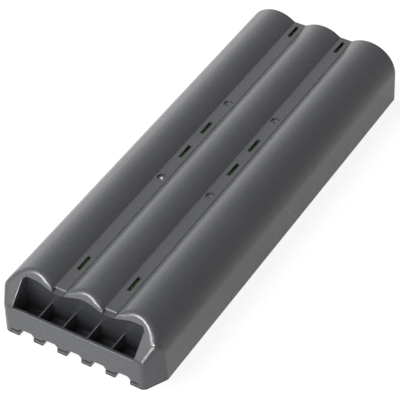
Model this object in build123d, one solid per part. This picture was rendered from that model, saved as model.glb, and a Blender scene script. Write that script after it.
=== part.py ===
from build123d import *

import math
import os

# Battery pack with two cells in line in each of three rows.
# Axes: +X to the right seen from the contact end, +Y away from the contact end, +Z up.
# Every piece is drawn with the front face at y = 0 and moved at the end,
# so that the origin is the middle of the bottom face. All sizes are in millimetres.

# Driving dimensions of the case
CELL_PITCH = 17.4
PACK_LENGTH = 154.2
HUMP_RADIUS = 10.15
HUMP_CENTRE_Z = 10.3
SIDE_DRAFT_DEG = 1.78
FRONT_HALF_WIDTH = 24.1
CORNER_DEPTH = 7.2
BEND_Z = 11.1
LEAN_DEG = 43.5
ROW_X = [-CELL_PITCH, 0.0, CELL_PITCH]
VALLEY_X = [-CELL_PITCH / 2, CELL_PITCH / 2]

# Flat valleys between the humps, with a groove along the right side and a lowered, sloped front end
FLOOR_Z = 18.0
GROOVE_START = 2.05
GROOVE_END = 2.38
GROOVE_BOTTOM_Z = 17.88
GROOVE_REAR_GAP = 2.4
SLOPE_HALF_WIDTH = 1.95
SLOPE_START_Z = 17.3
SLOPE_END_Z = 17.5
SLOPE_END_Y = 7.9
SLOT_LENGTH = 6.3
SLOT_WIDTH = 1.15
MIDDLE_Y = 84.8
SLOT_OFFSETS = [-64.3, -6.5, 6.5, 64.3]
DIMPLE_OFFSETS = [-20.5, 20.5]
DIMPLE_RADIUS = 1.5
DIMPLE_DEPTH = 0.3
GATE_BASE_RADIUS = 0.55
GATE_TOP_RADIUS = 0.3
GATE_HEIGHT = 0.24

# Inside of the case
CAVITY_RADIUS = 8.65
CAVITY_CEILING_Z = 17.1
CAVITY_FRONT_Y = 10.0
REAR_WALL = 1.6

# Finger pocket in the leaning front
POCKET_HALF_WIDTH = 20.9
POCKET_CREST_Z = 18.3
POCKET_TROUGH_Z = 17.25
POCKET_CORNER_RADIUS = 1.4
POCKET_BACK_Y = 8.4
POCKET_FLOOR_Z = 4.0
SCOOP_RADIUS = 0.3
FRONT_WALL = 1.2
WALL_TOP_Z = 10.75
RIB_THICKNESS = 0.48
RIB_TOP_Z = 9.9
RIB_X = [-12.7, -4.3, 4.1, 12.5]

# Notches and the split line of the front edge
NOTCH_X = [-16.8, -8.4, 0.0, 8.4, 16.8]
NOTCH_WIDTH = 5.1
NOTCH_HEIGHT = 3.0
NOTCH_CHAMFER = 0.7
NOTCH_DEPTH = 9.0
FINGER_HEIGHT = 2.0
TONGUE_HALF_WIDTH = 22.1

# Bottom cover
COVER_THICKNESS = 1.6
COVER_HALF_WIDTH = 26.45
COVER_EDGE_GAP = 0.05
REBATE_END_WALL = 1.2
RAIL_INNER_X = 23.5
RAIL_OUTER_X = 25.6
RAIL_TOP_Z = 3.0
RAIL_START_Y = 20.0
RAIL_END_Y = 149.0
PANEL_HALF_WIDTH = 20.0
PANEL_START_Y = 32.0
PANEL_END_Y = 126.0
PANEL_DEPTH = 0.3
PANEL_CORNER = 3.0

# Cells
CELL_RADIUS = 8.5
CELL_LENGTH = 66.8
CAP_HEIGHT = 0.8
CAP_RADIUS = 3.2
SLEEVE_WALL = 0.14
SLEEVE_LIP = 1.4
SLEEVE_GAP = 0.01
CAN_EDGE_RADIUS = 0.8
RING_THICKNESS = 0.2
LINE_GAP = 0.6
CELL_FRONT_Y = MIDDLE_Y - LINE_GAP / 2 - CELL_LENGTH
CELL_REAR_Y = MIDDLE_Y + LINE_GAP / 2 + CELL_LENGTH

# Nickel strips
STRIP_THICKNESS = 0.2
LINK_HALF_HEIGHT = 2.5
LINK_OVERHANG = 3.6
FOLD_HALF_WIDTH = 3.0
FOLD_DROP = 5.0
FOLD_RISE = 3.0

# Contacts, board and what is on it
CONTACT_WIDTH = 3.2
CONTACT_THICKNESS = 0.4
CONTACT_GAP = 0.05
CONTACT_START_Y = 1.9
CONTACT_TOP_Z = 7.0
BOARD_FRONT_Y = 11.65
BOARD_THICKNESS = 1.2
BOARD_HALF_WIDTH = 21.0
BOARD_BOTTOM_Z = 3.4
BOARD_TOP_Z = 15.0
GUIDE_INNER_X = 20.4
GUIDE_REAR_Y = 14.2
GUIDE_TOP_Z = 10.0
PAD_HALF_WIDTH = 6.0
PAD_BOTTOM_Z = 5.2
PAD_TOP_Z = 14.8
INSULATOR_THICKNESS = 0.5
REAR_INSULATOR_THICKNESS = 0.4
INSULATOR_RADIUS = 8.3
FIT_GAP = 0.05

# Leads
LEAD_RADIUS = 0.75
THIN_LEAD_RADIUS = 0.45
LEAD_Z = 2.75
LEAD_BEND = 1.6
CUTOFF_START_Y = 30.0
CUTOFF_END_Y = 42.0
CUTOFF_HALF_WIDTH = 2.2
CUTOFF_TOP_Z = 3.8
THERMISTOR_Y = 45.0
THERMISTOR_RADIUS = 1.2
THERMISTOR_LENGTH = 3.6


def block(x0, x1, y0, y1, z0, z1):
    """A box between two corners."""
    centre = Pos((x0 + x1) / 2, (y0 + y1) / 2, (z0 + z1) / 2)
    return centre * Box(x1 - x0, y1 - y0, z1 - z0)


def rod(x, z, y0, y1, radius):
    """A round bar along Y."""
    return extrude(Plane((x, y0, z), z_dir=(0, 1, 0)) * Circle(radius), y1 - y0)


def prism_along_y(edges, y0, y1):
    """Extrudes a closed outline drawn at y = 0 in X and Z."""
    return Pos(0, y0, 0) * extrude(Face(Wire(edges)), y1 - y0, dir=(0, 1, 0))


def closed_lines(points):
    """The edges of a closed polygon."""
    return [Line(a, b) for a, b in zip(points, points[1:] + points[:1])]


def hump_offset(z, radius):
    """Distance beside a hump's middle at which its circle has the height z."""
    return math.sqrt(radius**2 - (z - HUMP_CENTRE_Z) ** 2)


DRAFT = math.radians(SIDE_DRAFT_DEG)
TANGENT_X = CELL_PITCH + HUMP_RADIUS * math.cos(DRAFT)
TANGENT_Z = HUMP_CENTRE_Z + HUMP_RADIUS * math.sin(DRAFT)
BOTTOM_HALF_WIDTH = TANGENT_X + TANGENT_Z * math.tan(DRAFT)
HUMP_TOP_Z = HUMP_CENTRE_Z + HUMP_RADIUS
CAVITY_HALF_WIDTH = CELL_PITCH + CAVITY_RADIUS
CAVITY_REAR_Y = PACK_LENGTH - REAR_WALL
REBATE_HALF_WIDTH = COVER_HALF_WIDTH + COVER_EDGE_GAP
REBATE_REAR_Y = PACK_LENGTH - REBATE_END_WALL
FLANK_END = hump_offset(FLOOR_Z, HUMP_RADIUS)


def case_outline():
    """Cross-section of the case: drafted sides, three humps and the flat valleys between them."""
    left_foot = (-BOTTOM_HALF_WIDTH, 0, 0)
    right_foot = (BOTTOM_HALF_WIDTH, 0, 0)
    here = (-TANGENT_X, 0, TANGENT_Z)
    edges = [Line(right_foot, left_foot), Line(left_foot, here)]
    for x in ROW_X:
        last = x == ROW_X[-1]
        end = (TANGENT_X, 0, TANGENT_Z) if last else (x + FLANK_END, 0, FLOOR_Z)
        edges.append(ThreePointArc(here, (x, 0, HUMP_TOP_Z), end))
        here = (x + CELL_PITCH - FLANK_END, 0, FLOOR_Z)
        edges.append(Line(end, right_foot if last else here))
    return edges


def cavity_outline(bottom_z):
    """Cross-section of the room for the cells, open at the bottom."""
    reach = hump_offset(CAVITY_CEILING_Z, CAVITY_RADIUS)
    top_z = HUMP_CENTRE_Z + CAVITY_RADIUS
    here = (-CAVITY_HALF_WIDTH, 0, HUMP_CENTRE_Z)
    edges = [
        Line((CAVITY_HALF_WIDTH, 0, bottom_z), (-CAVITY_HALF_WIDTH, 0, bottom_z)),
        Line((-CAVITY_HALF_WIDTH, 0, bottom_z), here),
    ]
    for x in ROW_X:
        last = x == ROW_X[-1]
        end = (CAVITY_HALF_WIDTH, 0, HUMP_CENTRE_Z) if last else (x + reach, 0, CAVITY_CEILING_Z)
        edges.append(ThreePointArc(here, (x, 0, top_z), end))
        if not last:
            here = (x + CELL_PITCH - reach, 0, CAVITY_CEILING_Z)
            edges.append(Line(end, here))
    edges.append(Line((CAVITY_HALF_WIDTH, 0, HUMP_CENTRE_Z), (CAVITY_HALF_WIDTH, 0, bottom_z)))
    return edges


def lean_y(z):
    """Where the leaning face is at the height z."""
    return (z - BEND_Z) * math.tan(math.radians(LEAN_DEG))


def valley_groove(x):
    """The groove along the right side of a valley's floor, which stops short of the rear end."""
    rear_y = PACK_LENGTH - GROOVE_REAR_GAP
    return block(x + GROOVE_START, x + GROOVE_END, 0, rear_y, GROOVE_BOTTOM_Z, HUMP_TOP_Z)


def valley_slope(x):
    """What is cut off the front end of a valley's floor."""
    over = 0.5
    left = x - SLOPE_HALF_WIDTH
    start_y = lean_y(SLOPE_START_Z)
    slope = (SLOPE_END_Z - SLOPE_START_Z) / (SLOPE_END_Y - start_y)
    side = [
        (left, start_y - over, SLOPE_START_Z - slope * over),
        (left, SLOPE_END_Y, SLOPE_END_Z),
        (left, SLOPE_END_Y, HUMP_TOP_Z),
        (left, start_y - over, HUMP_TOP_Z),
    ]
    return extrude(Face(Wire(closed_lines(side))), 2 * SLOPE_HALF_WIDTH, dir=(1, 0, 0))


def lean_cutter():
    """What is cut away in front of the leaning face."""
    over = 5.0
    high_z = HUMP_TOP_Z + over
    wide = BOTTOM_HALF_WIDTH + over
    points = [
        (-wide, 0, BEND_Z),
        (-wide, lean_y(high_z), high_z),
        (-wide, -over, high_z),
        (-wide, -over, BEND_Z),
    ]
    return extrude(Face(Wire(closed_lines(points))), 2 * wide, dir=(1, 0, 0))


def corner_cutter(side):
    """What is cut away outside the slanted face at a front corner."""
    over = 5.0
    slope = (BOTTOM_HALF_WIDTH - FRONT_HALF_WIDTH) / CORNER_DEPTH
    points = [
        (side * (FRONT_HALF_WIDTH - slope * over), -over, -over),
        (side * (BOTTOM_HALF_WIDTH + slope * over), CORNER_DEPTH + over, -over),
        (side * (BOTTOM_HALF_WIDTH + slope * over), -over, -over),
    ]
    return extrude(Face(Wire(closed_lines(points))), HUMP_TOP_Z + 2 * over, dir=(0, 0, 1))


def pocket_window():
    """The upper part of the pocket: its top edge is a shallow wave that follows the humps."""
    over = 1.0
    middle_z = (POCKET_CREST_Z + POCKET_TROUGH_Z) / 2
    quarter = CELL_PITCH / 4
    r = POCKET_CORNER_RADIUS
    corner_x = POCKET_HALF_WIDTH - r
    turn = r * math.cos(math.pi / 4)
    left_end = (-corner_x, 0, POCKET_CREST_Z)
    right_end = (corner_x, 0, POCKET_CREST_Z)
    low_left = (-POCKET_HALF_WIDTH, 0, WALL_TOP_Z)
    low_right = (POCKET_HALF_WIDTH, 0, WALL_TOP_Z)
    side_z = POCKET_CREST_Z - r
    edges = [
        Line(low_right, low_left),
        Line(low_left, (-POCKET_HALF_WIDTH, 0, side_z)),
        ThreePointArc(
            (-POCKET_HALF_WIDTH, 0, side_z), (-corner_x - turn, 0, side_z + turn), left_end
        ),
        Line(left_end, (-CELL_PITCH, 0, POCKET_CREST_Z)),
    ]
    here = (-CELL_PITCH, 0, POCKET_CREST_Z)
    for k in range(4):
        falling = k % 2 == 0
        end_z = POCKET_TROUGH_Z if falling else POCKET_CREST_Z
        half_way = (here[0] + quarter, 0, middle_z)
        end = (here[0] + 2 * quarter, 0, end_z)
        edges.append(wave_quarter(here, half_way, level_at_start=True))
        edges.append(wave_quarter(half_way, end, level_at_start=False))
        here = end
    edges.append(Line(here, right_end))
    edges.append(
        ThreePointArc(right_end, (corner_x + turn, 0, side_z + turn), (POCKET_HALF_WIDTH, 0, side_z))
    )
    edges.append(Line((POCKET_HALF_WIDTH, 0, side_z), low_right))
    return prism_along_y(edges, -over, POCKET_BACK_Y)


def wave_quarter(start, end, level_at_start):
    """An arc from start to end that is level at one of them."""
    tangent_point = start if level_at_start else end
    other = end if level_at_start else start
    dx = other[0] - tangent_point[0]
    dz = other[2] - tangent_point[2]
    radius = (dx**2 + dz**2) / (2 * dz)
    angle = math.atan2(dx / radius, 1 - dz / radius) / 2
    middle = (
        tangent_point[0] + radius * math.sin(angle),
        0,
        tangent_point[2] + radius * (1 - math.cos(angle)),
    )
    return ThreePointArc(start, middle, end)


def pocket_bays():
    """The lower part of the pocket behind the front wall. Its floor is rounded into the back wall."""
    wide = POCKET_HALF_WIDTH
    over = 0.5
    scoop_z = POCKET_FLOOR_Z + SCOOP_RADIUS
    scoop_y = POCKET_BACK_Y - SCOOP_RADIUS
    turn = SCOOP_RADIUS * math.cos(math.pi / 4)
    top_front = (-wide, FRONT_WALL, WALL_TOP_Z + over)
    low_front = (-wide, FRONT_WALL, POCKET_FLOOR_Z)
    scoop_start = (-wide, scoop_y, POCKET_FLOOR_Z)
    scoop_end = (-wide, POCKET_BACK_Y, scoop_z)
    top_back = (-wide, POCKET_BACK_Y, WALL_TOP_Z + over)
    edges = [
        Line(top_front, low_front),
        Line(low_front, scoop_start),
        ThreePointArc(scoop_start, (-wide, scoop_y + turn, scoop_z - turn), scoop_end),
        Line(scoop_end, top_back),
        Line(top_back, top_front),
    ]
    return extrude(Face(Wire(edges)), 2 * wide, dir=(1, 0, 0))


def notch(x):
    """A notch for one contact, open at the front and the bottom, with bevelled upper corners."""
    over = 1.0
    half = NOTCH_WIDTH / 2
    points = [
        (x - half, 0, -over),
        (x - half, 0, NOTCH_HEIGHT - NOTCH_CHAMFER),
        (x - half + NOTCH_CHAMFER, 0, NOTCH_HEIGHT),
        (x + half - NOTCH_CHAMFER, 0, NOTCH_HEIGHT),
        (x + half, 0, NOTCH_HEIGHT - NOTCH_CHAMFER),
        (x + half, 0, -over),
    ]
    return prism_along_y(closed_lines(points), -over, NOTCH_DEPTH)


def contact_passage(x):
    """The slit through the pocket's back wall that holds one contact."""
    half = CONTACT_WIDTH / 2 + CONTACT_GAP
    low_z = NOTCH_HEIGHT - CONTACT_THICKNESS - 2 * CONTACT_GAP
    return block(x - half, x + half, NOTCH_DEPTH - 1, CAVITY_FRONT_Y + 1, low_z, NOTCH_HEIGHT)


def board_guide(side):
    """A post on the side wall, with a groove for one edge of the circuit board."""
    post = block(GUIDE_INNER_X, CAVITY_HALF_WIDTH, CAVITY_FRONT_Y, GUIDE_REAR_Y, BOARD_BOTTOM_Z, GUIDE_TOP_Z)
    groove = block(
        GUIDE_INNER_X - 1,
        BOARD_HALF_WIDTH + 2 * FIT_GAP,
        BOARD_FRONT_Y - FIT_GAP,
        BOARD_FRONT_Y + BOARD_THICKNESS + FIT_GAP,
        BOARD_BOTTOM_Z - 1,
        GUIDE_TOP_Z + 1,
    )
    post = post - groove
    return post if side > 0 else mirror(post, about=Plane.YZ)


def gate_mark():
    """The low stub that the moulding gate left in the front left dimple."""
    low_z = FLOOR_Z - DIMPLE_DEPTH
    stub = Cone(GATE_BASE_RADIUS, GATE_TOP_RADIUS, GATE_HEIGHT)
    return Pos(VALLEY_X[0], MIDDLE_Y + DIMPLE_OFFSETS[0], low_z + GATE_HEIGHT / 2) * stub


def top_shell():
    """The deep upper moulding."""
    over = 1.0
    shell = prism_along_y(case_outline(), 0, PACK_LENGTH)
    shell -= lean_cutter()
    for x in VALLEY_X:
        shell -= valley_groove(x)
        shell -= valley_slope(x)
    for side in (-1, 1):
        shell -= corner_cutter(side)
    shell -= prism_along_y(cavity_outline(-over), CAVITY_FRONT_Y, CAVITY_REAR_Y)
    shell -= pocket_window()
    shell -= pocket_bays()
    for x in RIB_X:
        half = RIB_THICKNESS / 2
        shell += block(x - half, x + half, FRONT_WALL, POCKET_BACK_Y, POCKET_FLOOR_Z, RIB_TOP_Z)
    for side in (-1, 1):
        shell += board_guide(side)
    tongue = TONGUE_HALF_WIDTH + COVER_EDGE_GAP
    shell -= block(-tongue, tongue, -over, CAVITY_FRONT_Y, -over, FINGER_HEIGHT)
    shell -= block(
        -REBATE_HALF_WIDTH, REBATE_HALF_WIDTH, CAVITY_FRONT_Y, REBATE_REAR_Y, -over, COVER_THICKNESS
    )
    for x in NOTCH_X:
        shell -= notch(x)
        shell -= contact_passage(x)
    half = SLOT_WIDTH / 2
    for x in VALLEY_X:
        for offset in SLOT_OFFSETS:
            y = MIDDLE_Y + offset
            shell -= block(
                x - half, x + half, y - SLOT_LENGTH / 2, y + SLOT_LENGTH / 2, HUMP_CENTRE_Z, HUMP_TOP_Z
            )
        for offset in DIMPLE_OFFSETS:
            low_z = FLOOR_Z - DIMPLE_DEPTH
            shell -= Pos(x, MIDDLE_Y + offset, low_z + over / 2) * Cylinder(DIMPLE_RADIUS, over)
    return shell + gate_mark()


def bottom_cover():
    """The flat lower moulding with its six front fingers, two rails and a shallow bare panel."""
    gap = COVER_EDGE_GAP
    cover = block(
        -COVER_HALF_WIDTH,
        COVER_HALF_WIDTH,
        CAVITY_FRONT_Y + gap,
        REBATE_REAR_Y - gap,
        0,
        COVER_THICKNESS,
    )
    cover += block(
        -TONGUE_HALF_WIDTH, TONGUE_HALF_WIDTH, NOTCH_DEPTH, CAVITY_FRONT_Y + 1, 0, COVER_THICKNESS
    )
    half_notch = NOTCH_WIDTH / 2
    edges = [-TONGUE_HALF_WIDTH]
    for x in NOTCH_X:
        edges += [x - half_notch, x + half_notch]
    edges.append(TONGUE_HALF_WIDTH)
    for left, right in zip(edges[0::2], edges[1::2]):
        cover += block(left, right, 0, CAVITY_FRONT_Y - gap, 0, FINGER_HEIGHT - gap)
    for side in (-1, 1):
        inner, outer = sorted((side * RAIL_INNER_X, side * RAIL_OUTER_X))
        cover += block(inner, outer, RAIL_START_Y, RAIL_END_Y, COVER_THICKNESS, RAIL_TOP_Z)
    panel_length = PANEL_END_Y - PANEL_START_Y
    panel = RectangleRounded(2 * PANEL_HALF_WIDTH, panel_length, PANEL_CORNER)
    panel_cut = Pos(0, (PANEL_START_Y + PANEL_END_Y) / 2, 0) * extrude(panel, PANEL_DEPTH)
    return cover - panel_cut


def turned(points, y0, flip):
    """A body of revolution about a line along Y, from (radius, distance from the negative end) points."""
    profile = [(r, (y0 + CELL_LENGTH - d) if flip else (y0 + d), 0) for r, d in points]
    return revolve(Face(Wire(closed_lines(profile))), Axis.Y)


def cell_can(x, y0, flip):
    """The steel can: the positive end is crimped in behind the cap."""
    r = CELL_RADIUS - SLEEVE_WALL - SLEEVE_GAP
    start = SLEEVE_WALL
    end = CELL_LENGTH - CAP_HEIGHT - SLEEVE_WALL
    edge = CAN_EDGE_RADIUS
    points = [(0, start), (r - edge, start), (r, start + edge), (r, end - edge), (r - edge, end), (0, end)]
    return Pos(x, 0, HUMP_CENTRE_Z) * turned(points, y0, flip)


def cell_sleeve(x, y0, flip):
    """The shrunk plastic sleeve, folded over both ends of the can."""
    outer = CELL_RADIUS
    inner = CELL_RADIUS - SLEEVE_WALL
    edge = CAN_EDGE_RADIUS
    end = CELL_LENGTH - CAP_HEIGHT
    lip = inner - edge - SLEEVE_LIP
    points = [
        (lip, 0),
        (outer - edge, 0),
        (outer, edge),
        (outer, end - edge),
        (outer - edge, end),
        (lip, end),
        (lip, end - SLEEVE_WALL + SLEEVE_GAP),
        (inner - edge, end - SLEEVE_WALL + SLEEVE_GAP),
        (inner, end - SLEEVE_WALL + SLEEVE_GAP - edge),
        (inner, SLEEVE_WALL - SLEEVE_GAP + edge),
        (inner - edge, SLEEVE_WALL - SLEEVE_GAP),
        (lip, SLEEVE_WALL - SLEEVE_GAP),
    ]
    return Pos(x, 0, HUMP_CENTRE_Z) * turned(points, y0, flip)


def cell_cap(x, y0, flip):
    """The vent cap welded to the positive end."""
    bevel = 0.3
    start = CELL_LENGTH - CAP_HEIGHT - SLEEVE_WALL
    end = CELL_LENGTH
    points = [(0, start), (CAP_RADIUS, start), (CAP_RADIUS, end - bevel), (CAP_RADIUS - bevel, end), (0, end)]
    return Pos(x, 0, HUMP_CENTRE_Z) * turned(points, y0, flip)


def cell_ring(x, y0, flip):
    """The paper ring that keeps a strip off the crimped rim at the positive end."""
    inner = CAP_RADIUS + 0.3
    outer = CELL_RADIUS - 1.0
    start = CELL_LENGTH - CAP_HEIGHT + SLEEVE_GAP
    end = start + RING_THICKNESS
    points = [(inner, start), (outer, start), (outer, end), (inner, end)]
    return Pos(x, 0, HUMP_CENTRE_Z) * turned(points, y0, flip)


def link(x0, x1, y0):
    """A flat nickel strip across two rows."""
    return block(
        x0, x1, y0, y0 + STRIP_THICKNESS, HUMP_CENTRE_Z - LINK_HALF_HEIGHT, HUMP_CENTRE_Z + LINK_HALF_HEIGHT
    )


def middle_link(x):
    """A nickel strip folded between the two cells of a row."""
    y0 = MIDDLE_Y - LINE_GAP / 2
    y1 = MIDDLE_Y + LINE_GAP / 2
    low = HUMP_CENTRE_Z - FOLD_DROP
    high = HUMP_CENTRE_Z + FOLD_RISE
    folded = block(x - FOLD_HALF_WIDTH, x + FOLD_HALF_WIDTH, y0, y1, low, high)
    inside = block(
        x - FOLD_HALF_WIDTH - 1,
        x + FOLD_HALF_WIDTH + 1,
        y0 + STRIP_THICKNESS,
        y1 - STRIP_THICKNESS,
        low + STRIP_THICKNESS,
        high + 1,
    )
    return folded - inside


NEGATIVE_TONGUE_Z = 5.4
TONGUE_FRONT_Y = 14.6
POSITIVE_TONGUE_Z = 1.78
POSITIVE_TONGUE_FRONT_Y = 145.5
TAB_LEFT_X = 9.0
TAB_RIGHT_X = 12.4
FRONT_STRIP_Y = CELL_FRONT_Y - STRIP_THICKNESS


def negative_tab():
    """The strip on the first cell, with a tongue bent forward through the front insulator."""
    x = ROW_X[0]
    half = LINK_HALF_HEIGHT
    face = block(
        x - half, x + half, FRONT_STRIP_Y, CELL_FRONT_Y, NEGATIVE_TONGUE_Z, HUMP_CENTRE_Z + half
    )
    tongue = block(
        x - half, x + half, TONGUE_FRONT_Y, CELL_FRONT_Y, NEGATIVE_TONGUE_Z, NEGATIVE_TONGUE_Z + STRIP_THICKNESS
    )
    return face + tongue


def positive_tab():
    """The strip on the last cell, led down between two rows and bent forward under the lead."""
    half = LINK_HALF_HEIGHT
    y0 = CELL_REAR_Y
    y1 = y0 + STRIP_THICKNESS
    across = block(TAB_LEFT_X, ROW_X[2] + half, y0, y1, HUMP_CENTRE_Z - half, HUMP_CENTRE_Z + half)
    down = block(TAB_LEFT_X, TAB_RIGHT_X, y0, y1, POSITIVE_TONGUE_Z, HUMP_CENTRE_Z)
    tongue = block(
        VALLEY_X[1] - LEAD_RADIUS,
        TAB_RIGHT_X,
        POSITIVE_TONGUE_FRONT_Y,
        y1,
        POSITIVE_TONGUE_Z,
        POSITIVE_TONGUE_Z + STRIP_THICKNESS,
    )
    return across + down + tongue


def insulator(y0, thickness, with_openings):
    """An insulating board over the ends of the three rows."""
    board = block(
        -CELL_PITCH, CELL_PITCH, y0, y0 + thickness, HUMP_CENTRE_Z - INSULATOR_RADIUS, HUMP_CENTRE_Z
    )
    for x in ROW_X:
        board += rod(x, HUMP_CENTRE_Z, y0, y0 + thickness, INSULATOR_RADIUS)
    if with_openings:
        slit = LINK_HALF_HEIGHT + 0.5
        tongue_gap = 0.4
        board -= block(
            ROW_X[0] - slit,
            ROW_X[0] + slit,
            y0 - 1,
            y0 + thickness + 1,
            NEGATIVE_TONGUE_Z - tongue_gap,
            NEGATIVE_TONGUE_Z + STRIP_THICKNESS + tongue_gap,
        )
        lead_room = 1.6
        for x in VALLEY_X:
            board -= block(x - lead_room, x + lead_room, y0 - 1, y0 + thickness + 1, 0, LEAD_Z + lead_room)
    return board


def contact(x):
    """A metal strip: flat under the notch's ceiling, through the wall and up the circuit board."""
    half = CONTACT_WIDTH / 2
    top = NOTCH_HEIGHT - CONTACT_GAP
    bottom = top - CONTACT_THICKNESS
    rear = BOARD_FRONT_Y - FIT_GAP
    blade = block(x - half, x + half, CONTACT_START_Y, rear, bottom, top)
    tail = block(x - half / 2, x + half / 2, rear - CONTACT_THICKNESS, rear, bottom, CONTACT_TOP_Z)
    return blade + tail


def circuit_board():
    """The board that stands behind the pocket."""
    return block(
        -BOARD_HALF_WIDTH,
        BOARD_HALF_WIDTH,
        BOARD_FRONT_Y,
        BOARD_FRONT_Y + BOARD_THICKNESS,
        BOARD_BOTTOM_Z,
        BOARD_TOP_Z,
    )


# Parts on the rear face of the board: middle x, middle z, width, height, thickness
BOARD_REAR_Y = BOARD_FRONT_Y + BOARD_THICKNESS
COMPONENTS = [
    (-12.5, 12.0, 5.0, 4.0, 1.6),
    (12.2, 11.6, 3.2, 1.6, 0.6),
    (16.4, 11.6, 3.2, 1.6, 0.6),
    (12.2, 8.8, 2.0, 1.25, 0.5),
    (-17.4, 12.0, 2.0, 1.25, 0.5),
    (-17.4, 9.6, 2.0, 1.25, 0.5),
]
FUSE_X = 15.6
FUSE_Z = 6.2
FUSE_WIDTH = 7.4
FUSE_HEIGHT = 3.6
FUSE_THICKNESS = 1.2


def board_components():
    """Chip and resistors, each a solid on the board."""
    return [
        block(x - w / 2, x + w / 2, BOARD_REAR_Y, BOARD_REAR_Y + t, z - h / 2, z + h / 2)
        for x, z, w, h, t in COMPONENTS
    ]


def resettable_fuse():
    """The flat fuse on the board."""
    return block(
        FUSE_X - FUSE_WIDTH / 2,
        FUSE_X + FUSE_WIDTH / 2,
        BOARD_REAR_Y,
        BOARD_REAR_Y + FUSE_THICKNESS,
        FUSE_Z - FUSE_HEIGHT / 2,
        FUSE_Z + FUSE_HEIGHT / 2,
    )


def lead(points, radius):
    """A round lead along straight runs joined by arcs."""
    path = FilletPolyline(*points, radius=LEAD_BEND) if len(points) > 2 else Line(*points)
    start = Plane(path @ 0, z_dir=path % 0)
    return sweep(start * Circle(radius), path=path)


LEAD_RISE_Y = 15.1
LEAD_BOARD_Z = 6.6
NEGATIVE_PAD_X = -11.6


def rising_route(x, y_end):
    """Forward along the bottom between two rows, up behind the board, and on to it."""
    return [
        (x, y_end, LEAD_Z),
        (x, LEAD_RISE_Y, LEAD_Z),
        (x, LEAD_RISE_Y, LEAD_BOARD_Z),
        (x, BOARD_REAR_Y, LEAD_BOARD_Z),
    ]


def negative_route():
    """From the negative tongue along the board and on to it."""
    z = NEGATIVE_TONGUE_Z + STRIP_THICKNESS + LEAD_RADIUS
    y = LEAD_RISE_Y
    return [(ROW_X[0] + LINK_HALF_HEIGHT, y, z), (NEGATIVE_PAD_X, y, z), (NEGATIVE_PAD_X, BOARD_REAR_Y, z)]


def thermal_cutoff():
    """The flat thermal cut-off between the second and third rows."""
    x = VALLEY_X[1]
    return block(
        x - CUTOFF_HALF_WIDTH,
        x + CUTOFF_HALF_WIDTH,
        CUTOFF_START_Y,
        CUTOFF_END_Y,
        COVER_THICKNESS + FIT_GAP,
        CUTOFF_TOP_Z,
    )


def thermistor():
    """The round bead between the first and second rows."""
    z = COVER_THICKNESS + FIT_GAP + THERMISTOR_RADIUS
    return rod(VALLEY_X[0], z, THERMISTOR_Y, THERMISTOR_Y + THERMISTOR_LENGTH, THERMISTOR_RADIUS)


def foam_pad():
    """The pad between the board and the front insulator."""
    return block(
        -PAD_HALF_WIDTH,
        PAD_HALF_WIDTH,
        BOARD_REAR_Y + FIT_GAP,
        FRONT_STRIP_Y - INSULATOR_THICKNESS - FIT_GAP,
        PAD_BOTTOM_Z,
        PAD_TOP_Z,
    )


def save(node, shape):
    """Moves a finished piece, or a group of pieces, to the pack's own origin and writes it."""
    move = Pos(0, -PACK_LENGTH / 2, 0)
    if isinstance(shape, list):
        export_step(Compound(children=[move * s for s in shape]), f"parts/{node}.step")
    else:
        export_step(move * shape, f"parts/{node}.step")


def save_cells():
    """Cans, sleeves, caps and rings. The string runs back, forward and back again through the rows."""
    rings = []
    number = 0
    for row, x in enumerate(ROW_X):
        flip = row == 1
        for y0 in (CELL_FRONT_Y, MIDDLE_Y + LINE_GAP / 2):
            number += 1
            save(f"cell_{number}_can", cell_can(x, y0, flip))
            save(f"cell_{number}_sleeve", cell_sleeve(x, y0, flip))
            save(f"cell_{number}_cap", cell_cap(x, y0, flip))
            rings.append(cell_ring(x, y0, flip))
    save("cell_insulator_rings", rings)


def save_wiring():
    """Nickel strips, insulators and leads."""
    for number, x in enumerate(ROW_X, start=1):
        save(f"middle_link_{number}", middle_link(x))
    save("rear_link", link(ROW_X[0] - LINK_OVERHANG, ROW_X[1] + LINK_OVERHANG, CELL_REAR_Y))
    save("front_link", link(ROW_X[1] - LINK_OVERHANG, ROW_X[2] + LINK_OVERHANG, FRONT_STRIP_Y))
    save("negative_tab", negative_tab())
    save("positive_tab", positive_tab())
    front_y = FRONT_STRIP_Y - INSULATOR_THICKNESS
    rear_y = CELL_REAR_Y + STRIP_THICKNESS + FIT_GAP
    save("front_insulator", insulator(front_y, INSULATOR_THICKNESS, True))
    save("rear_insulator", insulator(rear_y, REAR_INSULATOR_THICKNESS, False))
    save("negative_lead", lead(negative_route(), LEAD_RADIUS))
    save("positive_lead_front", lead(rising_route(VALLEY_X[1], CUTOFF_START_Y), LEAD_RADIUS))
    tongue_end = CELL_REAR_Y - 2 * FIT_GAP
    rear_run = [(VALLEY_X[1], CUTOFF_END_Y, LEAD_Z), (VALLEY_X[1], tongue_end, LEAD_Z)]
    save("positive_lead_rear", lead(rear_run, LEAD_RADIUS))
    for number, side in enumerate((-1, 1), start=1):
        x = VALLEY_X[0] + side * (THIN_LEAD_RADIUS + FIT_GAP)
        save(f"thermistor_lead_{number}", lead(rising_route(x, THERMISTOR_Y), THIN_LEAD_RADIUS))


def save_electronics():
    """Contacts, board, what is on it, and the sensors between the rows."""
    for number, x in enumerate(NOTCH_X, start=1):
        save(f"contact_{number}", contact(x))
    save("circuit_board", circuit_board())
    save("board_components", board_components())
    save("resettable_fuse", resettable_fuse())
    save("thermal_cutoff", thermal_cutoff())
    save("thermistor", thermistor())
    save("foam_pad", foam_pad())


os.makedirs("parts", exist_ok=True)
save("top_shell", top_shell())
save("bottom_cover", bottom_cover())
save_cells()
save_wiring()
save_electronics()
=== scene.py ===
import math

import bmesh
import bpy
from mathutils import Matrix, Vector


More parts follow.
